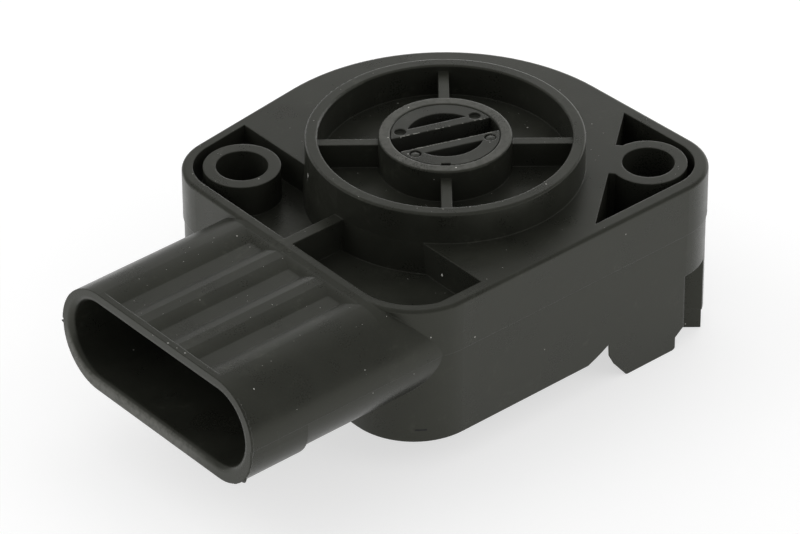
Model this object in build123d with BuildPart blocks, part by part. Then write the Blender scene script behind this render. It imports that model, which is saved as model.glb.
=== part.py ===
from build123d import *
from math import acos, asin, cos, degrees, radians, sin, sqrt
import os

# Accelerator potentiometer: a sealed rotary sensor that bolts to a pedal bracket by two ears.
# Millimetres. The rotor turns about Z and +Z looks out of the pilot ring. z = 0 is the mounting
# face of the ear bosses, and +X is the way a plug leaves the socket.

# Ears and bolt holes
bolt_spacing = 50.8
bolt_hole_d = 6.6
ear_angle = 140.0  # direction of the plain ear; the plug ear is opposite
ear_r = 7.55
ear_depth = 21.2
boss_d = 9.8

# Body outline and depths
back_r = 26.2
corner_r = 9.3
rim_round = 0.45
parting_depth = 7.1
parting_step = 0.15
body_depth = 19.6

# Feet: the ears' side walls run down past the ears
foot_depth = 24.0
foot_chord = 20.2  # half the gap between the feet, measured along the line of the holes
foot_slant = 0.65
foot_chamfer = 2.8
foot_chamfer_run = 1.75
foot_end = 28.95  # outer end of a foot, along the same line
foot_neck = 1.0  # where the wall narrows to the foot
foot_round = 0.4
rib_end = 32.45  # outer end of the rib between an ear's windows
rib_run = 2.5
rib_step = 0.1
relief_run = 2.6  # swept relief in the front wall beside the plain ear's foot
relief_height = 1.65
relief_lean = 0.8  # its slope where it starts, against its mean slope
relief_back = 10.5  # from the line of the holes to the back of the relief

# Pocket beside the ring, on the plug side
rim_wall = 1.4
front_wall = 1.75
pocket_depth = 4.4
deck_edge = 13.4
rib_y = 0.25
rib_wall = 1.6

# Cores in the ears
core_depth = 11.0
core_chord = 20.75
core_tilt = 10.4
core_neck = 6.4
core_round = 0.6
window_width = 3.75
window_offset = 2.0
plain_window_depth = 13.4
plug_window_depth = 9.4

# Pilot ring, hub and spokes
pilot_d = 35.1
pilot_height = 4.4
ring_wall = 1.65
ring_draft = 0.35  # how far the ring's foot spreads down to the pocket floor
hub_d = 16.8
hub_height = 4.5
spoke_wall = 1.35
spoke_height = 3.4
top_round = 0.25

# Socket
socket_width = 36.6
socket_height = 13.8
socket_wall = 1.75
socket_y = 5.1
mouth_x = 50.1
mouth_slant = 0.75  # how far the lower lip stands out past the upper one
mouth_round = 0.8
socket_floor_x = 31.0
toe_length = 8.5
toe_round = 5.8
channel_count = 3
channel_pitch = 7.5
channel_floor = 2.3
channel_depth = 0.6
channel_root = 0.4
channel_ramp = 1.2
channel_lip = 0.9
land_drop = 0.05

# Terminals
pin_count = 6
pin_pitch = 5.0
pin_width = 1.5
pin_thickness = 0.8
pin_reach = 10.5  # how far a blade stands in the socket
pin_drop_x = 21.2
pin_taper = 1.2
pin_tip = 0.3

# Cavity and rear cover
cavity_wall = 3.0
floor_wall = 2.0
web_wall = 1.8
plug_ear_wall = 2.7  # from the plug ear's boss to the cavity
cover_thickness = 2.0
cover_ledge = 1.3
cover_gap = 0.05
seal_width = 0.65
seal_thickness = 0.8

# Rotor
bore_d = 13.7
running_gap = 0.05
rotor_height = 4.4
slot_angle = 160.8
slot_width = 3.1
slot_depth = 6.5
recess_r = 4.85
recess_flat = 2.85
recess_depth = 5.0
dimple_d = 1.5
dimple_x = 5.0
dimple_y = 2.6
dimple_depth = 0.4
mark_width = 1.2
mark_depth = 0.45
groove_depth = 1.7
groove_width = 2.0
groove_below_slot = 1.6
sleeve_length = 2.0
sleeve_wall = 2.0
washer_thickness = 0.5
washer_gap = 0.1
flange_d = 24.4
flange_thickness = 2.0
pivot_d = 5.0
pivot_seat = 0.7  # from the cover's inner face up to the end of the pivot
travel = 70.0  # degrees
lug_angle = 230.0
lug_width = 3.0
lug_length = 1.5
stop_width = 2.0
stop_margin = 1.5

# Return spring
spring_wire = 0.8
spring_turns = 1.75
spring_gap = 0.1
spring_leg = 1.6

# Element board, tracks and wipers
board_stand = 1.8  # from the cover's inner face up to the board
board_thickness = 1.2
board_r = 13.2
board_margin = 1.2
track_width = 1.0
track_thickness = 0.1
track_pitch = 1.6
track_inner_r = 6.6
track_spare = 9.0
wiper_sheet = 0.3
wiper_finger = 0.8
wiper_run = 3.6
wiper_plate = 3.0
wiper_toe = 0.6
wiper_gap = 0.05
wiper_angle = 30.0
pivot_boss_wall = 2.0
cover_post_d = 4.0

# Derived places
ear_reach = bolt_spacing / 2
ear_dir = Vector(cos(radians(ear_angle)), sin(radians(ear_angle)), 0)
plain_ear = ear_dir * ear_reach
plug_ear = ear_dir * -ear_reach
ear_plane = Plane(origin=(0, 0, 0), x_dir=ear_dir, z_dir=(0, 0, 1))
across_plane = Plane(origin=(0, 0, 0), x_dir=ear_dir, z_dir=-ear_plane.y_dir)
side_x = plug_ear.X + ear_r
front_y = plain_ear.Y + ear_r
boss_r = boss_d / 2
pilot_r = pilot_d / 2
shaft_r = bore_d / 2 - running_gap
reach = 2 * bolt_spacing
core_angle = ear_angle - core_tilt
core_at = core_chord * cos(radians(core_tilt))
socket_z = -parting_depth
shroud_top = socket_z + socket_height / 2
channel_z = shroud_top - channel_depth
root_x = side_x + channel_root
mouth_plane = Plane(origin=(mouth_x, 0, shroud_top), z_dir=(socket_height, 0, mouth_slant))
lower_width = socket_width - 2 * parting_step
ceiling_z = -(pocket_depth + floor_wall)
ledge_z = -(body_depth - cover_thickness)
sleeve_z = ceiling_z - sleeve_length
sleeve_r = bore_d / 2 + sleeve_wall
flange_r = flange_d / 2
flange_z = sleeve_z - washer_gap - washer_thickness
flange_base_z = flange_z - flange_thickness
board_base_z = ledge_z + board_stand
board_z = board_base_z + board_thickness
pivot_z = ledge_z + pivot_seat
boss_in_cover_r = pivot_d / 2 + running_gap + pivot_boss_wall
first_pin_y = socket_y - pin_pitch * (pin_count - 1) / 2
spring_r = sleeve_r + spring_gap + spring_wire / 2
stop_turn = degrees(asin((lug_width + stop_width) / 2 / flange_r)) + stop_margin


def body_outline(inset):
    """Plan of the body, drawn inward by inset: two ears, a round back and one front corner."""
    lean = degrees(acos((back_r - ear_r) / ear_reach))
    corner = (side_x - corner_r, front_y - corner_r)
    with BuildSketch() as plan:
        with BuildLine():
            back = CenterArc((0, 0), back_r - inset, ear_angle + lean, 180 - 2 * lean)
            plug_end = CenterArc(plug_ear, ear_r - inset, ear_angle + 180 - lean, 180 - ear_angle + lean)
            front = CenterArc(corner, corner_r - inset, 0, 90)
            plain_end = CenterArc(plain_ear, ear_r - inset, 90, ear_angle + lean - 90)
            Line(back @ 1, plug_end @ 0)
            Line(plug_end @ 1, front @ 0)
            Line(front @ 1, plain_end @ 0)
            Line(plain_end @ 1, back @ 0)
        make_face()
    return plan.sketch


def beyond_chord(distance):
    """Half plane past the plain ear's tilted chord, that far from the rotor axis."""
    with BuildSketch() as half:
        with PolarLocations(distance + reach / 2, 1, start_angle=core_angle):
            Rectangle(reach, 2 * reach)
    return half.sketch


def cavity_plan(grow):
    """Plan of the inner cavity, let out by grow: inside the walls and clear of both ears."""
    with BuildSketch() as plan:
        add(body_outline(cavity_wall - grow))
        add(beyond_chord(core_at - web_wall - cover_ledge + grow), mode=Mode.SUBTRACT)
        with Locations(plug_ear):
            Circle(boss_r + plug_ear_wall - grow, mode=Mode.SUBTRACT)
    return plan.sketch


def upper_shroud(height):
    """Upper half of the shroud's flat-oval section, cut off at the parting plane."""
    with BuildSketch() as half:
        with Locations((socket_y, socket_z)):
            SlotOverall(socket_width, height)
            Rectangle(2 * reach, reach, align=(Align.CENTER, Align.MAX), mode=Mode.SUBTRACT)
    return half.sketch


def turned_wall(inner_r, outer_r, base_z, top_z):
    """Round upright wall about Z with eased top edges."""
    with BuildPart() as wall:
        with BuildSketch(Plane.XZ) as section:
            with BuildLine():
                Polyline((inner_r, base_z), (outer_r, base_z), (outer_r, top_z), (inner_r, top_z), close=True)
            make_face()
            fillet(section.vertices().group_by(Axis.Y)[-1], top_round)
        revolve(axis=Axis.Z)
    return wall.part


# Housing: one moulding with the deck, ears, ring, hub, socket and feet
with BuildPart() as housing:
    with BuildSketch():
        add(body_outline(0))
    extrude(amount=-parting_depth)
    fillet(housing.faces().sort_by(Axis.Z)[-1].edges(), rim_round)
    with BuildSketch(Plane.XY.offset(-parting_depth)):
        add(body_outline(parting_step))
    extrude(amount=parting_depth - foot_depth)
    # Gap between the feet, and the ends of the ears, which stop short of them
    with BuildSketch(across_plane) as below:
        foot_in = foot_chord + foot_slant
        foot_low = foot_in + foot_chamfer_run
        with BuildLine():
            Polyline(
                (-foot_chord, -body_depth), (foot_chord, -body_depth), (foot_in, foot_chamfer - foot_depth),
                (foot_low, -foot_depth), (-foot_low, -foot_depth), (-foot_in, foot_chamfer - foot_depth),
                close=True,
            )
        make_face()
        for side in (1, -1):
            with BuildLine():
                Polyline(
                    (side * foot_end, -foot_depth), (side * foot_end, -ear_depth - foot_neck),
                    (side * (foot_end + foot_neck), -ear_depth), (side * reach, -ear_depth),
                    (side * reach, -foot_depth), close=True,
                )
            make_face()
        with Locations((0, -foot_depth)):
            Rectangle(3 * reach, foot_neck, align=(Align.CENTER, Align.MAX))
        tips = below.vertices().filter_by_position(Axis.Y, -foot_depth - foot_round, -foot_depth + foot_round)
        fillet(tips.filter_by_position(Axis.X, -ear_reach - ear_r, ear_reach + ear_r), foot_round)
    extrude(amount=reach, both=True, mode=Mode.SUBTRACT)
    with BuildSketch(Plane.XY.offset(-foot_depth)):
        add(body_outline(parting_step + front_wall))
    extrude(amount=foot_depth - ear_depth, mode=Mode.SUBTRACT)
    # Relief in the front wall, beside the plain ear's foot
    with BuildSketch(across_plane.offset(relief_back)):
        with BuildLine():
            swept = TangentArc((foot_chord - relief_run, -body_depth), (foot_chord, relief_height - body_depth),
                               tangent=(relief_run, relief_height * relief_lean))
            Polyline(swept @ 1, (foot_chord, -body_depth), swept @ 0)
        make_face()
    extrude(amount=reach, mode=Mode.SUBTRACT)
    # Socket shroud, run back into the rounded corner of the body, its root level with the rim
    with BuildSketch(Plane.YZ.offset(side_x - corner_r)):
        add(upper_shroud(socket_height))
        with Locations((socket_y, socket_z)):
            SlotOverall(lower_width, socket_height)
    extrude(amount=mouth_x + mouth_slant - side_x + corner_r)
    with BuildSketch(Plane.YZ.offset(side_x - corner_r)):
        add(upper_shroud(2 * parting_depth))
    extrude(amount=corner_r - rim_round)
    with BuildSketch(Plane.YZ.offset(side_x - rim_round)):
        add(upper_shroud(2 * parting_depth))
    with BuildSketch(Plane.YZ.offset(root_x)):
        add(upper_shroud(socket_height))
    loft()
    # Squared lower corner of the shroud, at its mouth
    with BuildSketch(Plane.YZ.offset(mouth_x - toe_length)):
        with Locations((socket_y + lower_width / 4, socket_z)):
            RectangleRounded(lower_width / 2, socket_height, toe_round)
        with Locations((socket_y, socket_z)):
            Rectangle(2 * reach, reach, align=(Align.CENTER, Align.MIN), mode=Mode.SUBTRACT)
    extrude(amount=toe_length + mouth_slant)
    # Inside of the socket, with a slanted mouth and a rounded lead-in
    with BuildSketch(Plane.YZ.offset(socket_floor_x)):
        with Locations((socket_y, socket_z)):
            SlotOverall(socket_width - 2 * socket_wall, socket_height - 2 * socket_wall)
    extrude(amount=mouth_x + mouth_slant - socket_floor_x, mode=Mode.SUBTRACT)
    split(bisect_by=mouth_plane, keep=Keep.BOTTOM)
    fillet(housing.faces().sort_by(Axis.X)[-1].inner_wires()[0].edges(), mouth_round)
    # Shallow channels along the top of the shroud, with rounded lands between them
    with BuildSketch(Plane.YZ.offset(root_x)):
        for number in range(channel_count):
            mid_y = socket_y + (number - (channel_count - 1) / 2) * channel_pitch
            floor_y = mid_y - channel_floor / 2
            with BuildLine():
                fall = TangentArc((mid_y - channel_pitch / 2, shroud_top), (floor_y, channel_z), tangent=(1, 0))
                floor = Line(fall @ 1, (floor_y + channel_floor, channel_z))
                rise = TangentArc((mid_y + channel_pitch / 2, shroud_top), floor @ 1, tangent=(-1, 0))
                Line(rise @ 0, fall @ 0)
            make_face()
        with Locations((socket_y, shroud_top)):
            Rectangle(channel_pitch * (channel_count - 1), 2 * land_drop)
    extrude(amount=mouth_x - channel_lip - root_x, mode=Mode.SUBTRACT)
    with BuildSketch(Plane.XZ.offset(-socket_y)):
        with BuildLine():
            ramp = TangentArc((root_x, shroud_top), (root_x + channel_ramp, channel_z), tangent=(1, 0))
            Polyline(ramp @ 1, (root_x, channel_z), ramp @ 0)
        make_face()
    extrude(amount=channel_pitch * channel_count / 2 - channel_depth, both=True)
    # Cover seat and inner cavity, open below
    with BuildSketch(Plane.XY.offset(-foot_depth)):
        add(cavity_plan(cover_ledge))
    extrude(amount=foot_depth + ledge_z, mode=Mode.SUBTRACT)
    with BuildSketch(Plane.XY.offset(ledge_z)):
        add(cavity_plan(0))
    extrude(amount=ceiling_z - ledge_z, mode=Mode.SUBTRACT)
    # Bearing sleeve and the two stops hang from the cavity ceiling
    with BuildSketch(Plane.XY.offset(ceiling_z)):
        Circle(sleeve_r)
    extrude(amount=-sleeve_length)
    with BuildSketch(Plane.XY.offset(ceiling_z)):
        for stop_angle in (lug_angle - stop_turn, lug_angle + travel + stop_turn):
            with PolarLocations(flange_r + stop_margin, 1, start_angle=stop_angle):
                Rectangle(stop_width, stop_width)
    extrude(amount=flange_base_z - ceiling_z)
    with BuildSketch(Plane.XY.offset(ceiling_z)):
        with PolarLocations(spring_r, 1, start_angle=360 * spring_turns):
            Circle(spring_wire / 2 + running_gap)
    extrude(amount=spring_leg, mode=Mode.SUBTRACT)
    # Pocket on the plug side, around the ring, the boss and one rib
    with BuildSketch():
        add(body_outline(rim_wall))
        with Locations((deck_edge, front_y - front_wall)):
            Rectangle(reach, reach, align=(Align.MIN, Align.MAX), mode=Mode.INTERSECT)
        Circle(pilot_r, mode=Mode.SUBTRACT)
        with Locations(plug_ear):
            Circle(boss_r, mode=Mode.SUBTRACT)
        with Locations((0, rib_y)):
            Rectangle(reach, rib_wall, mode=Mode.SUBTRACT)
    extrude(amount=-pocket_depth, mode=Mode.SUBTRACT)
    # Foot of the ring in the pocket
    with BuildSketch(Plane.XZ):
        with BuildLine():
            Polyline((pilot_r - ring_wall, 0), (pilot_r, 0), (pilot_r + ring_draft, -pocket_depth),
                     (pilot_r - ring_wall, -pocket_depth), close=True)
        make_face()
    revolve(axis=Axis.Z)
    # Cores around the plain ear's boss
    with BuildSketch():
        add(body_outline(front_wall))
        add(beyond_chord(core_at), mode=Mode.INTERSECT)
        with Locations(plain_ear):
            Circle(boss_r, mode=Mode.SUBTRACT)
            Rectangle(2 * boss_r, core_neck, rotation=core_angle, align=(Align.MAX, Align.CENTER),
                      mode=Mode.SUBTRACT)
    extrude(amount=-core_depth, mode=Mode.SUBTRACT)
    # Cores up into the ears on both sides of a rib, with windows through the outer skin
    for side, depth in ((1, plain_window_depth), (-1, plug_window_depth)):
        with BuildSketch(ear_plane.offset(-foot_depth)):
            with Locations((side * ear_reach, 0)):
                Circle(ear_r - front_wall)
            for end in (1, -1):
                with Locations((side * (ear_reach + ear_r), end * (window_offset + window_width / 2))):
                    Rectangle(2 * ear_r, window_width)
            Rectangle(reach, 2 * window_offset, mode=Mode.SUBTRACT)
            with Locations((side * ear_reach, 0)):
                Rectangle(2 * ear_r, 4 * ear_r, align=(Align.MAX if side > 0 else Align.MIN, Align.CENTER),
                          mode=Mode.SUBTRACT)
                Circle(boss_r, mode=Mode.SUBTRACT)
        extrude(amount=foot_depth - depth, mode=Mode.SUBTRACT)
    # Rib of each ear, between its windows, as long as the feet
    with BuildSketch(ear_plane.offset(-foot_depth)):
        with Locations((rib_end - rib_run / 2, 0), (rib_run / 2 - rib_end, 0)):
            Rectangle(rib_run, 2 * window_offset - rib_step)
    extrude(amount=foot_depth - ear_depth + rib_run)
    # Pilot ring, hub and the four spokes between them
    add(turned_wall(pilot_r - ring_wall, pilot_r, 0, pilot_height))
    add(turned_wall(bore_d / 2, hub_d / 2, 0, hub_height))
    with BuildSketch():
        with PolarLocations((hub_d / 2 + pilot_r - ring_wall) / 2, 4, start_angle=ear_angle):
            Rectangle(pilot_r - hub_d / 2, spoke_wall)
    extrude(amount=spoke_height)
    # Rotor bore, bolt holes and terminal slots
    with Locations((0, 0, hub_height)):
        Hole(bore_d / 2, hub_height - sleeve_z)
    with Locations(plain_ear, plug_ear):
        Hole(bolt_hole_d / 2, foot_depth)
    with BuildSketch(Plane.YZ.offset(pin_drop_x)):
        with Locations((socket_y, socket_z)):
            with GridLocations(pin_pitch, 1, pin_count, 1):
                Rectangle(pin_width, pin_thickness)
    extrude(amount=socket_floor_x - pin_drop_x, mode=Mode.SUBTRACT)

# Rear cover: a plate in the seat, with the pivot bearing and the board's supports
with BuildPart() as rear_cover:
    with BuildSketch(Plane.XY.offset(-body_depth)):
        add(cavity_plan(cover_ledge - cover_gap))
    extrude(amount=cover_thickness)
    with BuildSketch(Plane.XY.offset(ledge_z)):
        Circle(boss_in_cover_r)
    extrude(amount=board_z + board_thickness / 2 - ledge_z)
    with BuildSketch(Plane.XY.offset(ledge_z)):
        Circle(board_r - board_margin)
        Circle(board_r - board_margin - web_wall, mode=Mode.SUBTRACT)
        with Locations((pin_drop_x - cover_post_d, 0)):
            with Locations((0, first_pin_y + cover_post_d), (0, first_pin_y + pin_pitch * (pin_count - 1))):
                Circle(cover_post_d / 2)
    extrude(amount=board_base_z - ledge_z)
    with BuildSketch(Plane.XY.offset(pivot_z - running_gap)):
        Circle(pivot_d / 2 + running_gap)
    extrude(amount=reach, mode=Mode.SUBTRACT)
    with BuildSketch(Plane.XY.offset(ledge_z)):
        add(cavity_plan(cover_ledge / 2 + seal_width / 2))
        add(cavity_plan(cover_ledge / 2 - seal_width / 2), mode=Mode.SUBTRACT)
    extrude(amount=-seal_thickness, mode=Mode.SUBTRACT)

# Seal in the cover's groove
with BuildPart() as cover_seal:
    with BuildSketch(Plane.XY.offset(ledge_z - seal_thickness)):
        add(cavity_plan(cover_ledge / 2 + seal_width / 2))
        add(cavity_plan(cover_ledge / 2 - seal_width / 2), mode=Mode.SUBTRACT)
    extrude(amount=seal_thickness)

# Rotor: turned shaft, flange and pivot, with the drive slot in its face
rotor_face = Plane.XY.offset(rotor_height).rotated((0, 0, slot_angle))
groove_z = rotor_height - slot_depth - groove_below_slot
with BuildPart() as rotor:
    with BuildSketch(Plane.XZ):
        with BuildLine():
            Polyline(
                (0, pivot_z), (pivot_d / 2, pivot_z), (pivot_d / 2, flange_base_z), (flange_r, flange_base_z),
                (flange_r, flange_z), (shaft_r, flange_z), (shaft_r, rotor_height), (0, rotor_height), close=True,
            )
        make_face()
        with Locations((shaft_r, groove_z)):
            Rectangle(2 * groove_depth, groove_width, align=(Align.CENTER, Align.MAX), mode=Mode.SUBTRACT)
    revolve(axis=Axis.Z)
    with BuildSketch(rotor_face):
        Rectangle(4 * shaft_r, slot_width)
    extrude(amount=-slot_depth, mode=Mode.SUBTRACT)
    with BuildSketch(rotor_face):
        Circle(recess_r)
        Rectangle(2 * recess_r, 2 * recess_flat, mode=Mode.SUBTRACT)
    extrude(amount=-recess_depth, mode=Mode.SUBTRACT)
    with BuildSketch(rotor_face):
        with GridLocations(2 * dimple_x, 2 * dimple_y, 2, 2):
            Circle(dimple_d / 2)
    extrude(amount=-dimple_depth, mode=Mode.SUBTRACT)
    with BuildSketch(Plane.XY.offset(rotor_height)):
        with PolarLocations(shaft_r, 1, start_angle=ear_angle - 90):
            Rectangle(2 * mark_depth, mark_width)
    extrude(amount=-recess_depth, mode=Mode.SUBTRACT)
    with BuildSketch(Plane.XY.offset(flange_base_z)):
        with PolarLocations(flange_r, 1, start_angle=lug_angle):
            Rectangle(2 * lug_length, lug_width)
    extrude(amount=flange_thickness)
    with BuildSketch(Plane.XY.offset(flange_z)):
        with PolarLocations(spring_r, 1):
            Circle(spring_wire / 2 + running_gap)
    extrude(amount=-spring_leg, mode=Mode.SUBTRACT)

# Round seal in the rotor's groove, against the bore
seal_r = (groove_depth - running_gap) / 2
with BuildPart() as rotor_seal:
    with BuildSketch(Plane.XZ):
        with Locations((shaft_r - seal_r, groove_z - groove_width / 2)):
            Circle(seal_r)
    revolve(axis=Axis.Z)

# Thrust washer between the sleeve and the flange
with BuildPart() as thrust_washer:
    with BuildSketch(Plane.XY.offset(flange_z)):
        Circle(sleeve_r)
        Circle(shaft_r + running_gap, mode=Mode.SUBTRACT)
    extrude(amount=washer_thickness)

# Return spring: wire coiled round the sleeve, one leg up into the housing and one down into the flange
spring_top_z = ceiling_z - spring_gap - spring_wire / 2
spring_low_z = flange_z + spring_gap + spring_wire / 2
with BuildPart() as return_spring:
    with BuildLine():
        coil_height = spring_top_z - spring_low_z
        coil = Helix(coil_height / spring_turns, coil_height, spring_r, center=(0, 0, spring_low_z))
    with BuildSketch(Plane(origin=coil @ 0, z_dir=coil % 0)):
        Circle(spring_wire / 2)
    sweep(path=coil)
    for leg_angle, foot_z, leg_z in (
        (0, flange_z - spring_leg + spring_gap, spring_low_z),
        (360 * spring_turns, spring_top_z, ceiling_z + spring_leg - spring_gap),
    ):
        with BuildSketch(Plane.XY.offset(foot_z)):
            with PolarLocations(spring_r, 1, start_angle=leg_angle):
                Circle(spring_wire / 2)
        extrude(amount=leg_z - foot_z)

# Element board on the cover's supports
with BuildPart() as element_board:
    with BuildSketch(Plane.XY.offset(board_base_z)):
        Circle(board_r)
        with Locations((0, socket_y)):
            Rectangle(pin_drop_x + board_margin, pin_pitch * (pin_count - 1) + pin_width + 2 * board_margin,
                      align=(Align.MIN, Align.CENTER))
        add(cavity_plan(-board_margin / 4), mode=Mode.INTERSECT)
        Circle(boss_in_cover_r + running_gap, mode=Mode.SUBTRACT)
    extrude(amount=board_thickness)


def track_radius(index):
    """Middle radius of a printed track, counted outward."""
    return track_inner_r + index * track_pitch


def finger_radius(index):
    """Distance of a wiper finger from the rotor axis, so that its tip runs on its track."""
    return sqrt(track_radius(index) ** 2 - wiper_run**2)


def save(built, label):
    """Label a finished piece and write it as its own file."""
    built.part.label = label
    export_step(built.part, f"parts/{label}.step")


os.makedirs("parts", exist_ok=True)

# Printed tracks on the board: two resistors between two collectors
for index, label in enumerate(("collector_track_1", "resistor_track_1", "resistor_track_2", "collector_track_2")):
    tip_angle = wiper_angle + degrees(asin(wiper_run / track_radius(index)))
    with BuildPart() as track:
        with BuildSketch(Plane.XY.offset(board_z)):
            SlotArc(CenterArc((0, 0), track_radius(index), tip_angle - track_spare, travel + 2 * track_spare),
                    track_width)
        extrude(amount=track_thickness)
    save(track, label)

# Wipers: sprung sheet under the rotor flange, each with two fingers that bridge a pair of tracks
wiper_out = Vector(cos(radians(wiper_angle)), sin(radians(wiper_angle)), 0)
wiper_plane = Plane(origin=(0, 0, 0), x_dir=Vector(0, 0, 1).cross(wiper_out), z_dir=wiper_out)
plate_z = flange_base_z - wiper_sheet / 2
tip_z = board_z + track_thickness + wiper_gap + wiper_sheet / 2
for number in (1, 2):
    pair = [finger_radius(2 * number - 2), finger_radius(2 * number - 1)]
    with BuildPart() as wiper:
        with BuildSketch(wiper_plane.offset(pair[0] - wiper_finger / 2)):
            with Locations((0, plate_z)):
                Rectangle(wiper_plate, wiper_sheet)
        extrude(amount=pair[1] - pair[0] + wiper_finger)
        for finger in pair:
            with BuildSketch(wiper_plane.offset(finger - wiper_finger / 2)):
                with BuildLine():
                    Polyline((0, plate_z), (wiper_plate / 2, plate_z), (wiper_run, tip_z),
                             (wiper_run + wiper_toe, tip_z + wiper_toe))
                trace(line_width=wiper_sheet)
            extrude(amount=wiper_finger)
    save(wiper, f"wiper_{number}")

# Terminals: blades through the wall, bent down to the board
tip_x = socket_floor_x + pin_reach
for number in range(pin_count):
    with BuildPart() as terminal:
        with BuildSketch(Plane.XZ.offset(-first_pin_y - number * pin_pitch)):
            top_z = socket_z + pin_thickness / 2
            low_z = socket_z - pin_thickness / 2
            with BuildLine():
                Polyline(
                    (pin_drop_x - pin_thickness, board_z), (pin_drop_x - pin_thickness, top_z),
                    (tip_x - pin_taper, top_z), (tip_x, socket_z + pin_tip / 2), (tip_x, socket_z - pin_tip / 2),
                    (tip_x - pin_taper, low_z), (pin_drop_x, low_z), (pin_drop_x, board_z), close=True,
                )
            make_face()
        extrude(amount=pin_width / 2, both=True)
    save(terminal, f"terminal_{number + 1}")

save(housing, "housing")
save(rear_cover, "rear_cover")
save(cover_seal, "cover_seal")
save(rotor, "rotor")
save(rotor_seal, "rotor_seal")
save(thrust_washer, "thrust_washer")
save(return_spring, "return_spring")
save(element_board, "element_board")
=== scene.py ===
import math
import random

import bmesh
import bpy
from mathutils import Matrix, Vector
from mathutils.bvhtree import BVHTree


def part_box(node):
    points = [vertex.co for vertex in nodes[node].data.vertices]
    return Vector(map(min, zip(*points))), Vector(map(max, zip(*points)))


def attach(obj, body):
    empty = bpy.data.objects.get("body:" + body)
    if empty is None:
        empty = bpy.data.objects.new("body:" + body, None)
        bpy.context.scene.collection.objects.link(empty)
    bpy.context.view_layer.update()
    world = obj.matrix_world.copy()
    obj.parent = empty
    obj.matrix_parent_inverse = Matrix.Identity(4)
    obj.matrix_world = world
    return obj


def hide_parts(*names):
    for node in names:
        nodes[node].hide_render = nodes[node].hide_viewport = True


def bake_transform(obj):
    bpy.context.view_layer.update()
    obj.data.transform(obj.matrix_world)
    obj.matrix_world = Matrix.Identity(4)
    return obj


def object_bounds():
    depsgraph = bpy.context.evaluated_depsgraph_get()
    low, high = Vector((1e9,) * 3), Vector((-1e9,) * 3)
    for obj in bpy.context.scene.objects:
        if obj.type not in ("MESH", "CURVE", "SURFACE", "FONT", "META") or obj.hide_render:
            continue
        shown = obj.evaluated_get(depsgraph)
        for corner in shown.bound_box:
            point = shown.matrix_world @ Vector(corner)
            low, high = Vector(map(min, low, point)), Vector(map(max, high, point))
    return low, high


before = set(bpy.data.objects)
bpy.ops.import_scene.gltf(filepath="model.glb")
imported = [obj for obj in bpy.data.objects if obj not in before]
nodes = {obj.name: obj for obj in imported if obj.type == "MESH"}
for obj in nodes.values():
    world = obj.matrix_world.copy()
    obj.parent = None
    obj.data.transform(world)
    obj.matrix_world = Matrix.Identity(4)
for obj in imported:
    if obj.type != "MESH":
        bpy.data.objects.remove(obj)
cad_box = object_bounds()

MM = 0.001

# Camera, in the row frame
CAMERA_AT = Vector((373.46, 431.75, 383.17)) * MM
LOOKS_AT = Vector((18.85, 13.40, 0.0)) * MM
ROLL = math.radians(-0.324)
LENS = 247.5
SENSOR = 36.0

# Levels of the white surroundings: as light, in reflections, and in reflections of the sky behind,
# with that sky's direction and the cosine at which it begins
WORLD_LIGHT = 0.50
SKY_GLOSS = 0.42
BACK_GLOSS = 0.54
BACK_SKY = (-0.529, -0.624, 0.572)
BACK_SPREAD = 0.72

# Soft boxes: name, place by the photograph's sides (right, away and up), size, power, and whether
# the part mirrors it
LAMPS = (
    ("left_box", (-0.55, 0.10, 0.35), (0.5, 0.5), 1.2, False),
    ("right_box", (0.60, -0.25, 0.40), (0.5, 0.5), 0.7, False),
    ("top_box", (0.0, 0.25, 0.70), (0.6, 0.4), 0.7, False),
    ("back_box", (0.09, 0.22, 0.055), (0.30, 0.11), 0.125, True),
)

# Floor: width, colour as light, and colour and glow as the camera and reflections see it
FLOOR_SIZE = 4.0
FLOOR_PAPER = (0.80, 0.80, 0.79)
FLOOR_SHADE = (0.50, 0.50, 0.50)
FLOOR_GLOW = 0.62

# Rounding of the moulded edges, in the shading only
EDGE_ROUND = 0.22 * MM

# Places painted paler as a painted highlight, the hub's rim and the socket's lower lip: strength, then
# the axes and the levels, in mm, between which the painted highlight sets in
HOUSING_PAINTED_HIGHLIGHTS = (
    (0.08, (("Z", 4.46, 4.48),)),
    (0.13, (("X", 50.45, 50.65), ("Y", 18.0, 9.0))),
)

# Sizes of the moulded plastic's clouds, grain, smears, broken scuffs and flecks
CLOUD_SIZE = 6 * MM
GRAIN_SIZE = 0.22 * MM
SMEAR_SIZE = 5 * MM
SCUFF_SIZE = 0.6 * MM
FLECK_SPACING = 2.2 * MM

# Colours, linear
NYLON = (0.0200, 0.0208, 0.0165)
ROTOR_NYLON = (0.0215, 0.0220, 0.0188)
COVER_NYLON = (0.0195, 0.0200, 0.0172)
GLOSS_TINT = (0.985, 1.0, 0.87)
RUBBER = (0.012, 0.012, 0.012)
ACETAL = (0.62, 0.60, 0.54)
SPRING_STEEL = (0.50, 0.50, 0.52)
CERAMIC = (0.72, 0.70, 0.66)
CARBON_INK = (0.035, 0.035, 0.038)
SILVER_INK = (0.56, 0.55, 0.52)
WIPER_ALLOY = (0.72, 0.60, 0.38)
TINNED_BRASS = (0.66, 0.63, 0.56)
# Pale colour of dust, also used for the painted highlights on the housing
DUST_AND_HIGHLIGHT = (0.62, 0.61, 0.57)
DARK_MARK = (0.004, 0.004, 0.004)
PALE_BURR = (0.26, 0.26, 0.23)

# Start of the random draws
SEED = 11
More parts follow.
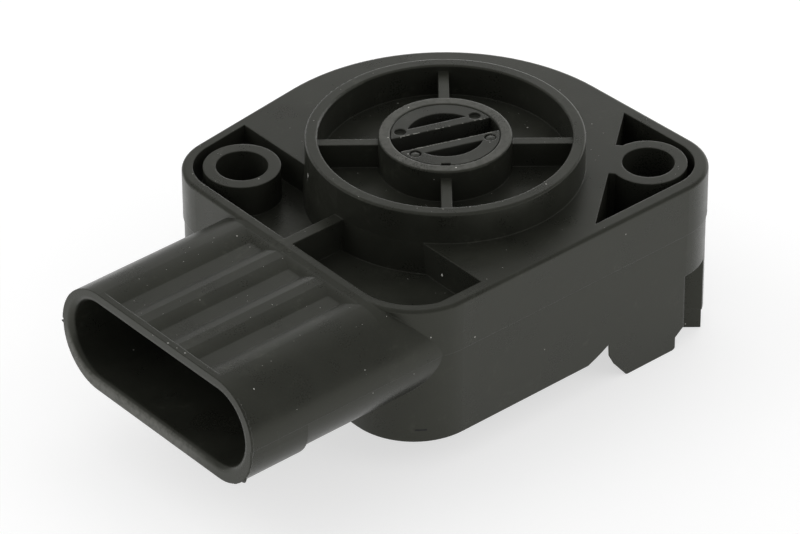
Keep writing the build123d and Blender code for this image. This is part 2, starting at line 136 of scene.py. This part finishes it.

# Dust grains seen on the part, the first of which, on the ring's outer wall, is a painted glint: place,
# facing, half width and half length, in mm
HOUSING_GRAINS_AND_GLINT = (
    # Painted glint: pale grain on the ring's outer wall
    ((15.62, -8.00, 1.08), (0.88, -0.47, 0.00), 0.21, 0.42),
    ((13.40, 14.91, -2.89), (1.00, 0.00, 0.00), 0.20, 0.24),
    ((29.39, -5.07, -0.30), (0.00, 0.15, 0.99), 0.09, 0.12),
    ((22.00, 22.82, -3.95), (0.45, 0.89, 0.00), 0.10, 0.14),
    ((22.60, 22.52, -4.40), (0.50, 0.87, 0.00), 0.07, 0.09),
    ((32.28, 22.66, -4.01), (0.00, 0.89, 0.45), 0.08, 0.09),
    ((25.05, 23.22, -7.73), (0.00, 1.00, -0.07), 0.06, 0.08),
    ((47.19, 20.00, -1.16), (0.00, 0.54, 0.84), 0.09, 0.13),
    ((31.55, 23.24, -7.45), (0.00, 1.00, -0.05), 0.07, 0.09),
    ((50.05, 4.50, -0.32), (0.70, 0.00, 0.71), 0.12, 0.15),
    ((49.90, 7.12, -0.20), (0.00, 0.00, 1.00), 0.12, 0.14),
    ((49.64, 10.04, -0.20), (0.00, 0.00, 1.00), 0.10, 0.16),
    ((49.72, 8.60, -0.20), (0.00, 0.00, 1.00), 0.05, 0.08),
    ((6.46, 5.36, 3.26), (0.76, 0.65, 0.00), 0.06, 0.07),
    ((10.93, 12.23, 4.40), (0.00, 0.00, 1.00), 0.06, 0.08),
    ((8.15, 14.06, 4.40), (0.00, 0.00, 1.00), 0.06, 0.07),
    ((41.33, 2.54, -0.33), (0.00, 0.18, 0.98), 0.06, 0.07),
)
ROTOR_GRAINS = (
    ((6.30, 0.26, 4.40), (0.00, 0.00, 1.00), 0.09, 0.11),
    ((-3.10, 4.90, 4.40), (0.00, 0.00, 1.00), 0.05, 0.06),
    ((4.60, -3.10, 4.40), (0.00, 0.00, 1.00), 0.05, 0.07),
)
GRAIN_HEIGHT = 0.04

# Specks on the part's outermost faces, which are in the finish only: place and radius, in mm
HOUSING_SPECKS = (
    ((15.86, 23.88, -6.19), 0.09),
    ((-0.49, -7.57, 4.50), 0.08),
    ((5.89, -4.06, 4.50), 0.08),
    ((3.87, 6.53, 4.50), 0.10),
)

# Finer dust that lies anywhere on the upper faces: number of grains and range of half widths, in mm
FINE_GRAINS = 170
FINE_GRAIN = (0.022, 0.05)

# Burrs along the rotor's slot, in mm: side, range along the slot and number of burrs on each edge
SLOT_ANGLE = math.radians(160.8)
SLOT_HALF = 1.55
SLOT_TOP = 4.40
SLOT_BURRS = ((-1, -6.3, 6.3, 46), (1, -6.3, -2.5, 16), (1, -2.5, 6.0, 12))
SLOT_BURR = (0.05, 0.11)

# Plastic left in the two dimples of the rotor nearest the camera, in mm
DIMPLE_FILL = (
    ((5.58, 0.81, 4.26), (0.00, 0.00, 1.00), 0.86, 0.86),
    ((-3.87, 4.10, 4.26), (0.00, 0.00, 1.00), 0.86, 0.86),
)
FILL_HEIGHT = 0.11

# Moulding marks, in mm
GATE_AT = (11.34, 13.37, 3.30)
GATE_SIZE = (1.30, 1.60, 0.05)
GATE_FACING = (0.655, 0.756, 0)
DASH_AT = (22.96, 22.05, -17.85)
DASH_SIZE = (1.45, 0.22, 0.02)
DASH_FACING = (0.575, 0.818, 0)
BURR = ((50.35, -13.22, -7.70), (0.0, -1.0, 0.0), 0.14, 0.20)
BURR_HEIGHT = 0.35

# Flash round the right end of the socket's mouth, in mm: centre, radius and angles of its two arcs,
# and the angle, height and half width in degrees of its tip
UPPER_ARC = ((16.5, -7.1), 6.9, 58, 0)
LOWER_ARC = ((17.45, -8.2), 5.8, 0, -62)
MOUTH_TOP = (50.1, -0.2)
MOUTH_LEAN = 0.75 / 13.8
FLASH_STEPS = 26
FLASH_HEIGHT = 0.10
FLASH_RUN = 0.75
FLASH_TIP = (-39, 0.42, 7)


def camera_axes():
    """Right, up and forward directions of the photograph's camera."""
    forward = (LOOKS_AT - CAMERA_AT).normalized()
    level_right = forward.cross(Vector((0, 0, 1))).normalized()
    level_up = level_right.cross(forward)
    right = level_right * math.cos(ROLL) + level_up * math.sin(ROLL)
    up = level_up * math.cos(ROLL) - level_right * math.sin(ROLL)
    return right, up, forward


def make_camera():
    """Camera at the photograph's viewing angle."""
    right, up, forward = camera_axes()
    data = bpy.data.cameras.new("camera")
    data.lens = LENS
    data.sensor_width = SENSOR
    data.clip_start = 0.01
    data.clip_end = 20.0
    camera = bpy.data.objects.new("camera", data)
    turn = Matrix((right, up, -forward)).transposed().to_4x4()
    camera.matrix_world = Matrix.Translation(CAMERA_AT) @ turn
    bpy.context.scene.collection.objects.link(camera)
    bpy.context.scene.camera = camera


class Shader:
    """Small helper that builds one procedural material around a Principled shader."""

    def __init__(self, name):
        self.material = bpy.data.materials.new(name)
        self.material.use_nodes = True
        self.tree = self.material.node_tree
        self.surface = self.tree.nodes["Principled BSDF"]
        self.place = self.add("ShaderNodeTexCoord").outputs["Object"]

    def add(self, kind, **settings):
        made = self.tree.nodes.new(kind)
        for key, value in settings.items():
            setattr(made, key, value)
        return made

    def link(self, source, target):
        self.tree.links.new(source, target)

    def stretched(self, scale):
        """Coordinates stretched by a different scale along each axis."""
        mapping = self.add("ShaderNodeMapping")
        self.link(self.place, mapping.inputs["Vector"])
        mapping.inputs["Scale"].default_value = scale
        return mapping.outputs["Vector"]

    def noise(self, size, detail=2.0, distortion=0.0, place=None):
        """Noise whose grains are about size across, in metres."""
        made = self.add("ShaderNodeTexNoise")
        self.link(place or self.place, made.inputs["Vector"])
        made.inputs["Scale"].default_value = 1 / size
        made.inputs["Detail"].default_value = detail
        made.inputs["Distortion"].default_value = distortion
        return made.outputs["Fac"]

    def span(self, value, low, high, to_low=0.0, to_high=1.0):
        """Map one range of values smoothly onto another."""
        made = self.add("ShaderNodeMapRange", interpolation_type="SMOOTHSTEP")
        self.link(value, made.inputs["Value"])
        levels = {"From Min": low, "From Max": high, "To Min": to_low, "To Max": to_high}
        for name, number in levels.items():
            made.inputs[name].default_value = number
        return made.outputs["Result"]

    def math(self, operation, first, second):
        made = self.add("ShaderNodeMath", operation=operation)
        for socket, value in zip(made.inputs, (first, second)):
            if isinstance(value, (int, float)):
                socket.default_value = value
            else:
                self.link(value, socket)
        return made.outputs["Value"]

    def mix(self, factor, first, second):
        """Mix two colours, each a socket or an RGB value."""
        made = self.add("ShaderNodeMix", data_type="RGBA")
        self.link(factor, made.inputs["Factor"])
        for name, value in (("A", first), ("B", second)):
            socket = next(s for s in made.inputs if s.name == name and s.type == "RGBA")
            if isinstance(value, tuple):
                socket.default_value = (*value, 1.0)
            else:
                self.link(value, socket)
        return next(s for s in made.outputs if s.type == "RGBA")

    def bump(self, height, depth, strength=1.0, normal=None):
        made = self.add("ShaderNodeBump")
        made.inputs["Strength"].default_value = strength
        made.inputs["Distance"].default_value = depth
        self.link(height, made.inputs["Height"])
        if normal:
            self.link(normal, made.inputs["Normal"])
        self.link(made.outputs["Normal"], self.surface.inputs["Normal"])

    def rounded(self, radius):
        """Normal with small rounded edges, as a mould leaves them."""
        made = self.add("ShaderNodeBevel", samples=6)
        made.inputs["Radius"].default_value = radius
        return made.outputs["Normal"]

    def edges(self, normal):
        """Mask that is 1 on convex and concave edges and 0 on open faces."""
        face = self.add("ShaderNodeNewGeometry")
        dot = self.add("ShaderNodeVectorMath", operation="DOT_PRODUCT")
        self.link(normal, dot.inputs[0])
        self.link(face.outputs["Normal"], dot.inputs[1])
        return self.span(dot.outputs["Value"], 0.995, 0.80)

    def spot(self, at, radius):
        """Mask that is 1 inside a small ball, given in mm."""
        made = self.add("ShaderNodeVectorMath", operation="DISTANCE")
        self.link(self.place, made.inputs[0])
        made.inputs[1].default_value = Vector(at) * MM
        return self.span(made.outputs["Value"], radius * 1.15 * MM, radius * 0.85 * MM)

    def beyond(self, axis, low, high):
        """Mask that goes from 0 to 1 between two levels along one axis, in mm."""
        made = self.add("ShaderNodeSeparateXYZ")
        self.link(self.place, made.inputs["Vector"])
        return self.span(made.outputs[axis], low * MM, high * MM)

    def set(self, **values):
        for name, value in values.items():
            socket = self.surface.inputs[name.replace("_", " ").title().replace("Ior", "IOR")]
            if isinstance(value, bpy.types.NodeSocket):
                self.link(value, socket)
            elif isinstance(value, tuple):
                socket.default_value = (*value, 1.0)
            else:
                socket.default_value = value


def scaled(colour, factor):
    return tuple(channel * factor for channel in colour)


def moulded_plastic(name, colour, roughness, wear, painted_highlights=(), specks=()):
    """Glass-filled black nylon: cloudy tone, fine grain, faint scuffs, dusty flecks, paler edges and
    painted highlights at given places.
    """
    shader = Shader(name)
    cloud = shader.noise(CLOUD_SIZE, detail=3)
    tone = shader.mix(shader.span(cloud, 0.3, 0.7), scaled(colour, 0.86), scaled(colour, 1.14))
    grain = shader.noise(GRAIN_SIZE, detail=2)
    tone = shader.mix(shader.span(grain, 0.5, 0.8, 0.0, 0.35), tone, scaled(colour, 1.9))
    smear = shader.noise(SMEAR_SIZE, detail=6, distortion=1.2)
    broken = shader.noise(SCUFF_SIZE, detail=3)
    scuff = shader.math("MULTIPLY", shader.span(smear, 0.54, 0.72), shader.span(broken, 0.42, 0.7))
    tone = shader.mix(shader.math("MULTIPLY", scuff, 0.35), tone, scaled(colour, 3.2))
    normal = shader.rounded(EDGE_ROUND)
    worn = shader.math("MULTIPLY", shader.edges(normal), shader.span(broken, 0.55, 0.75, 0.05, 1.0))
    tone = shader.mix(shader.math("MULTIPLY", worn, wear), tone, DUST_AND_HIGHLIGHT)
    # Painted highlights: the given places are mixed towards the pale colour, standing in for light
    # falling on them
    for strength, levels in painted_highlights:
        highlight_mask = shader.span(broken, 0.3, 0.6, strength / 2, strength)
        for axis, low, high in levels:
            highlight_mask = shader.math("MULTIPLY", highlight_mask, shader.beyond(axis, low, high))
        tone = shader.mix(highlight_mask, tone, DUST_AND_HIGHLIGHT)
    fleck = shader.add("ShaderNodeTexVoronoi")
    shader.link(shader.place, fleck.inputs["Vector"])
    fleck.inputs["Scale"].default_value = 1 / FLECK_SPACING
    rare = shader.add("ShaderNodeSeparateColor")
    shader.link(fleck.outputs["Color"], rare.inputs["Color"])
    dot = shader.span(fleck.outputs["Distance"], 0.06, 0.03)
    chosen = shader.span(rare.outputs["Red"], 0.90, 0.93)
    tone = shader.mix(shader.math("MULTIPLY", shader.math("MULTIPLY", dot, chosen), 0.6), tone, DUST_AND_HIGHLIGHT)
    for at, radius in specks:
        tone = shader.mix(shader.spot(at, radius), tone, DUST_AND_HIGHLIGHT)
    shader.set(base_color=tone, specular_tint=GLOSS_TINT, specular_ior_level=0.40)
    shader.set(roughness=shader.math("ADD", shader.span(cloud, 0.3, 0.7, -0.05, 0.05),
                                     shader.span(grain, 0.3, 0.8, roughness, roughness + 0.08)))
    shader.bump(grain, 0.012 * MM, 0.6, normal)
    return shader.material


def plain_metal(name, colour, roughness, grain_size):
    """Metal with drawn or rolled streaks."""
    shader = Shader(name)
    streak = shader.noise(grain_size, detail=4, place=shader.stretched((1.0, 1.0, 0.15)))
    shader.set(base_color=shader.mix(shader.span(streak, 0.3, 0.7), scaled(colour, 0.82), colour))
    shader.set(roughness=shader.span(streak, 0.2, 0.8, roughness - 0.08, roughness + 0.1))
    shader.set(metallic=1.0)
    shader.bump(streak, 0.01 * MM, 0.3)
    return shader.material


def plain_solid(name, colour, roughness, grain_size):
    """Dull solid with a cloudy tone and a fine grain: rubber, ceramic, ink or acetal."""
    shader = Shader(name)
    cloud = shader.noise(grain_size * 8, detail=3)
    grain = shader.noise(grain_size, detail=3)
    tone = shader.mix(shader.span(cloud, 0.3, 0.7), scaled(colour, 0.85), scaled(colour, 1.08))
    shader.set(base_color=shader.mix(shader.span(grain, 0.45, 0.8, 0.0, 0.3), tone, scaled(colour, 0.7)))
    shader.set(roughness=shader.span(grain, 0.2, 0.8, roughness - 0.06, roughness + 0.08))
    shader.bump(grain, 0.01 * MM, 0.5)
    return shader.material


def dress(material, *names):
    """Give CAD nodes their finish."""
    for name in names:
        nodes[name].data.materials.clear()
        nodes[name].data.materials.append(material)


def new_piece(name, mesh, material, body):
    """Added piece that rides on one body of the part."""
    piece = bpy.data.objects.new(name, mesh)
    bpy.context.scene.collection.objects.link(piece)
    mesh.materials.append(material)
    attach(piece, body)


def facing_axes(facing):
    """Level direction, upward direction and outward direction of a surface."""
    out = Vector(facing).normalized()
    upward = Vector((0, 0, 1)) if abs(out.z) < 0.9 else Vector((0.77, -0.64, 0))
    upward = (upward - out * upward.dot(out)).normalized()
    return upward.cross(out), upward, out


def grain_mesh(name, grains, height, chance):
    """Small uneven blobs, each half sunk in the surface it lies on."""
    shape = bmesh.new()
    for at, facing, half_width, half_length in grains:
        level, upward, out = facing_axes(facing)
        for vert in bmesh.ops.create_icosphere(shape, subdivisions=1, radius=1.0)["verts"]:
            corner = vert.co * chance.uniform(0.75, 1.2)
            vert.co = (Vector(at) + level * corner.x * half_width + upward * corner.y * half_length
                       + out * corner.z * height) * MM
    mesh = bpy.data.meshes.new(name)
    shape.to_mesh(mesh)
    shape.free()
    return mesh


def lay_grains(name, grains, height, material, body, chance):
    """Added piece made of small blobs."""
    new_piece(name, grain_mesh(name, grains, height, chance), material, body)


def fine_grains(count, chance):
    """Places of finer dust, found by dropping points on the moulding's upper faces."""
    moulding = nodes["housing"].data
    corners = [vert.co for vert in moulding.vertices]
    surface = BVHTree.FromPolygons(corners, [tuple(face.vertices) for face in moulding.polygons])
    low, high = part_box("housing")
    found = []
    while len(found) < count:
        above = Vector((chance.uniform(low[0], high[0]), chance.uniform(low[1], high[1]), high[2] + MM))
        at, facing, _, _ = surface.ray_cast(above, Vector((0, 0, -1)))
        half = chance.uniform(*FINE_GRAIN)
        if at is not None and facing.z > 0.3 and at.z < high[2] - 2 * half * MM:
            found.append((at / MM, facing, half, half * chance.uniform(1.0, 1.6)))
    return found


def slot_burrs(chance):
    """Places of the small burrs along the edges of the rotor's slot."""
    along = Vector((math.cos(SLOT_ANGLE), math.sin(SLOT_ANGLE), 0))
    across = Vector((-along.y, along.x, 0))
    found = []
    for side, first, last, count in SLOT_BURRS:
        for _ in range(count):
            half = chance.uniform(*SLOT_BURR)
            at = along * chance.uniform(first, last) + across * side * (SLOT_HALF + half * 0.6)
            at.z = SLOT_TOP
            found.append((at, (0, 0, 1), half, half * chance.uniform(1.0, 2.4)))
    return found


def block_mesh(name, at, facing, size):
    """Thin block on a surface: width, height and how far it stands out."""
    level, upward, out = facing_axes(facing)
    points = []
    for depth in (-size[2], size[2]):
        for across, rise in ((-0.5, -0.5), (0.5, -0.5), (0.5, 0.5), (-0.5, 0.5)):
            corner = Vector(at) + level * across * size[0] + upward * rise * size[1] + out * depth
            points.append(corner * MM)
    faces = [(3, 2, 1, 0), (4, 5, 6, 7), (0, 1, 5, 4), (1, 2, 6, 5), (2, 3, 7, 6), (3, 0, 4, 7)]
    mesh = bpy.data.meshes.new(name)
    mesh.from_pydata(points, [], faces)
    return mesh


def flash_mesh(name, chance):
    """Ragged fin that the mould left round the right end of the socket's mouth."""
    points = []
    for centre, radius, first, last in (UPPER_ARC, LOWER_ARC):
        for step in range(FLASH_STEPS + 1):
            angle = first + (last - first) * step / FLASH_STEPS
            stand = FLASH_HEIGHT * chance.uniform(0.3, 1.0)
            if centre == LOWER_ARC[0]:
                near = max(0.0, 1 - abs(angle - FLASH_TIP[0]) / FLASH_TIP[2])
                stand = max(stand, FLASH_TIP[1] * near)
            run = FLASH_RUN * chance.uniform(0.5, 1.0)
            turn = math.radians(angle)
            y, z = centre[0] + radius * math.cos(turn), centre[1] + radius * math.sin(turn)
            lip_x = MOUTH_TOP[0] + (MOUTH_TOP[1] - z) * MOUTH_LEAN
            out = Vector((0, math.cos(turn), math.sin(turn)))
            foot = Vector((lip_x, y, z)) - out * FLASH_HEIGHT
            for along, rise in ((-run, 0.0), (-run * 0.5, FLASH_HEIGHT + stand * 0.6),
                                (-0.08, FLASH_HEIGHT + stand), (0.0, 0.0)):
                points.append((foot + out * rise + Vector((along, 0, 0))) * MM)
    faces = []
    for ring in range(0, len(points) - 4, 4):
        for side in range(4):
            after = (side + 1) % 4
            faces.append((ring + side, ring + after, ring + 4 + after, ring + 4 + side))
    last = len(points) - 4
    faces += [(3, 2, 1, 0), (last, last + 1, last + 2, last + 3)]
    mesh = bpy.data.meshes.new(name)
    mesh.from_pydata(points, [], faces)
    return mesh


def wind_spring():
    """Copy of the spring, which has one leg in the housing and one in the rotor, in place of the hidden
    CAD node.
    """
    spring = bpy.data.objects.new("wound_spring", nodes["return_spring"].data.copy())
    bpy.context.scene.collection.objects.link(spring)
    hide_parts("return_spring")
    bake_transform(spring)


def make_floor():
    """White floor that keeps a soft shadow and shows as white to the camera and in reflections."""
    mesh = bpy.data.meshes.new("floor")
    half = FLOOR_SIZE / 2
    corners = [(-half, -half, 0), (half, -half, 0), (half, half, 0), (-half, half, 0)]
    mesh.from_pydata(corners, [], [(0, 1, 2, 3)])
    floor = bpy.data.objects.new("floor", mesh)
    floor.location.z = cad_box[0].z
    bpy.context.scene.collection.objects.link(floor)
    material = bpy.data.materials.new("floor_white")
    material.use_nodes = True
    tree = material.node_tree
    tree.nodes.remove(tree.nodes["Principled BSDF"])
    paper = tree.nodes.new("ShaderNodeBsdfDiffuse")
    paper.inputs["Color"].default_value = (*FLOOR_PAPER, 1)
    shade = tree.nodes.new("ShaderNodeBsdfDiffuse")
    shade.inputs["Color"].default_value = (*FLOOR_SHADE, 1)
    glow = tree.nodes.new("ShaderNodeEmission")
    glow.inputs["Strength"].default_value = FLOOR_GLOW
    both = tree.nodes.new("ShaderNodeAddShader")
    tree.links.new(shade.outputs[0], both.inputs[0])
    tree.links.new(glow.outputs[0], both.inputs[1])
    seen = seen_directly(tree)
    pick = tree.nodes.new("ShaderNodeMixShader")
    tree.links.new(seen, pick.inputs[0])
    tree.links.new(paper.outputs[0], pick.inputs[1])
    tree.links.new(both.outputs[0], pick.inputs[2])
    tree.links.new(pick.outputs[0], tree.nodes["Material Output"].inputs["Surface"])
    mesh.materials.append(material)


def seen_directly(tree):
    """1 for rays from the camera and for reflections, 0 for light that bounces diffusely."""
    path = tree.nodes.new("ShaderNodeLightPath")
    first = tree.nodes.new("ShaderNodeMath")
    first.operation = "MAXIMUM"
    tree.links.new(path.outputs["Is Camera Ray"], first.inputs[0])
    tree.links.new(path.outputs["Is Glossy Ray"], first.inputs[1])
    second = tree.nodes.new("ShaderNodeMath")
    second.operation = "MAXIMUM"
    tree.links.new(first.outputs[0], second.inputs[0])
    tree.links.new(path.outputs["Is Transmission Ray"], second.inputs[1])
    return second.outputs[0]


def make_world():
    """White surroundings: full white to the camera, plainer levels as light and in reflections."""
    world = bpy.data.worlds.new("studio")
    world.use_nodes = True
    tree = world.node_tree
    background = tree.nodes["Background"]
    background.inputs["Color"].default_value = (1, 1, 1, 1)
    near_back = tree.nodes.new("ShaderNodeVectorMath")
    near_back.operation = "DOT_PRODUCT"
    tree.links.new(tree.nodes.new("ShaderNodeTexCoord").outputs["Generated"], near_back.inputs[0])
    near_back.inputs[1].default_value = BACK_SKY
    gloss = tree.nodes.new("ShaderNodeMapRange")
    gloss.interpolation_type = "SMOOTHSTEP"
    gloss.inputs["From Min"].default_value = BACK_SPREAD
    gloss.inputs["From Max"].default_value = 1.0
    gloss.inputs["To Min"].default_value = SKY_GLOSS
    gloss.inputs["To Max"].default_value = BACK_GLOSS
    tree.links.new(near_back.outputs["Value"], gloss.inputs["Value"])
    level = tree.nodes.new("ShaderNodeMapRange")
    level.inputs["To Min"].default_value = WORLD_LIGHT
    tree.links.new(seen_directly(tree), level.inputs["Value"])
    tree.links.new(gloss.outputs["Result"], level.inputs["To Max"])
    whole = tree.nodes.new("ShaderNodeMath")
    whole.operation = "MAXIMUM"
    tree.links.new(level.outputs["Result"], whole.inputs[0])
    tree.links.new(tree.nodes.new("ShaderNodeLightPath").outputs["Is Camera Ray"], whole.inputs[1])
    tree.links.new(whole.outputs["Value"], background.inputs["Strength"])
    bpy.context.scene.world = world


def area_light(name, at, size, power, mirrored):
    """Soft box that looks at the part, and shows in its reflections if mirrored."""
    data = bpy.data.lights.new(name, "AREA")
    data.shape = "RECTANGLE"
    data.size = size[0]
    data.size_y = size[1]
    data.energy = power
    light = bpy.data.objects.new(name, data)
    light.location = at
    light.rotation_euler = (LOOKS_AT - Vector(at)).to_track_quat("-Z", "Y").to_euler()
    light.visible_camera = False
    light.visible_glossy = mirrored
    bpy.context.scene.collection.objects.link(light)


def photo_side(right, away, up):
    """Point given by the photograph's own sides, in metres from the part."""
    right_axis, _, forward = camera_axes()
    level = Vector((forward.x, forward.y, 0)).normalized()
    return right_axis * right + level * away + Vector((0, 0, up))


make_camera()
make_world()
make_floor()
for name, place, size, power, mirrored in LAMPS:
    area_light(name, photo_side(*place), size, power, mirrored)

housing_nylon = moulded_plastic("housing_nylon", NYLON, roughness=0.30, wear=0.05, painted_highlights=HOUSING_PAINTED_HIGHLIGHTS,
                                specks=HOUSING_SPECKS)
rotor_nylon = moulded_plastic("rotor_nylon", ROTOR_NYLON, roughness=0.30, wear=0.12)
cover_nylon = moulded_plastic("cover_nylon", COVER_NYLON, roughness=0.32, wear=0.05)
rubber = plain_solid("rubber", RUBBER, roughness=0.6, grain_size=0.15 * MM)
acetal = plain_solid("acetal", ACETAL, roughness=0.4, grain_size=0.2 * MM)
ceramic = plain_solid("ceramic", CERAMIC, roughness=0.55, grain_size=0.12 * MM)
carbon_ink = plain_solid("carbon_ink", CARBON_INK, roughness=0.5, grain_size=0.08 * MM)
silver_ink = plain_metal("silver_ink", SILVER_INK, roughness=0.5, grain_size=0.1 * MM)
spring_wire = plain_metal("spring_wire", SPRING_STEEL, roughness=0.28, grain_size=0.2 * MM)
wiper_alloy = plain_metal("wiper_alloy", WIPER_ALLOY, roughness=0.25, grain_size=0.1 * MM)
tinned_brass = plain_metal("tinned_brass", TINNED_BRASS, roughness=0.3, grain_size=0.2 * MM)
dust = plain_solid("dust", DUST_AND_HIGHLIGHT, roughness=0.8, grain_size=0.05 * MM)
dark_mark = plain_solid("mould_mark", DARK_MARK, roughness=0.7, grain_size=0.05 * MM)
pale_burr = plain_solid("pale_burr", PALE_BURR, roughness=0.6, grain_size=0.05 * MM)

dress(housing_nylon, "housing")
dress(rotor_nylon, "rotor")
dress(cover_nylon, "rear_cover")
dress(rubber, "cover_seal", "rotor_seal")
dress(acetal, "thrust_washer")
dress(ceramic, "element_board")
dress(carbon_ink, "resistor_track_1", "resistor_track_2")
dress(silver_ink, "collector_track_1", "collector_track_2")
dress(spring_wire, "return_spring")
dress(wiper_alloy, "wiper_1", "wiper_2")
dress(tinned_brass, *(name for name in nodes if name.startswith("terminal_")))

wind_spring()

chance = random.Random(SEED)
# The first of these grains, on the ring's outer wall, is a painted glint in dust colour
lay_grains("dust_and_glint_on_housing", HOUSING_GRAINS_AND_GLINT, GRAIN_HEIGHT, dust, "housing", chance)
lay_grains("fine_dust", fine_grains(FINE_GRAINS, chance), FINE_GRAIN[0], dust, "housing", chance)
lay_grains("dust_on_rotor", ROTOR_GRAINS, GRAIN_HEIGHT, dust, "rotor", chance)
lay_grains("lip_burr", [BURR], BURR_HEIGHT, housing_nylon, "housing", chance)
new_piece("lip_flash", flash_mesh("lip_flash", chance), housing_nylon, "housing")
new_piece("gate_mark", block_mesh("gate_mark", GATE_AT, GATE_FACING, GATE_SIZE), housing_nylon, "housing")
new_piece("dash_mark", block_mesh("dash_mark", DASH_AT, DASH_FACING, DASH_SIZE), dark_mark, "housing")
lay_grains("slot_burrs", slot_burrs(chance), GRAIN_HEIGHT, pale_burr, "rotor", chance)
lay_grains("dimple_fill", DIMPLE_FILL, FILL_HEIGHT, rotor_nylon, "rotor", chance)

bpy.context.scene.view_settings.view_transform = "Standard"
